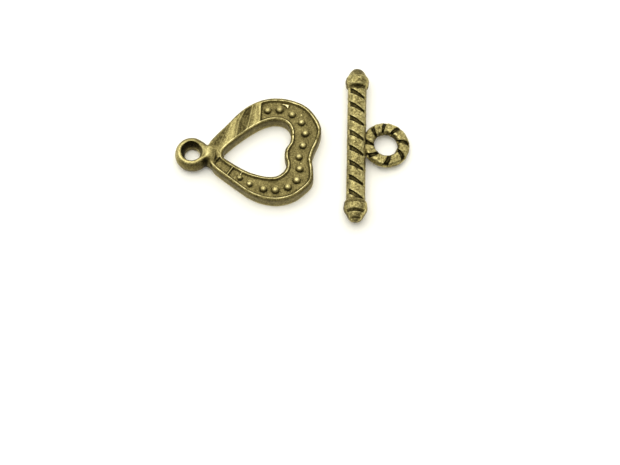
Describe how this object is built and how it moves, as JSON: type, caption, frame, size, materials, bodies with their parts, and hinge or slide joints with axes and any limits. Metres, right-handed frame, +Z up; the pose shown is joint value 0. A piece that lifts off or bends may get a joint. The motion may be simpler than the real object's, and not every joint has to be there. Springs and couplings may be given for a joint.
{
  "type": "toggle clasp",
  "caption": "Cast jewellery clasp: a heart-shaped loop with an eye and a beaded channel, and a spiral-grooved bar, with a rope-patterned ring on its side, that passes through the loop.",
  "frame": {"origin": "on the surface under the middle of the two pieces as they lie", "axes": "+X along the heart from its eye to its lobes and on to the bar, +Y along the bar, +Z up out of the heart's front"},
  "size_m": [0.0306, 0.022, 0.0031],
  "materials": {
    "antique_metal": "antique, brushed highlights over dark patina"
  },
  "bodies": {
    "root": {"heart_loop": "antique_metal", "toggle_bar": "antique_metal"}
  },
  "joints": []
}
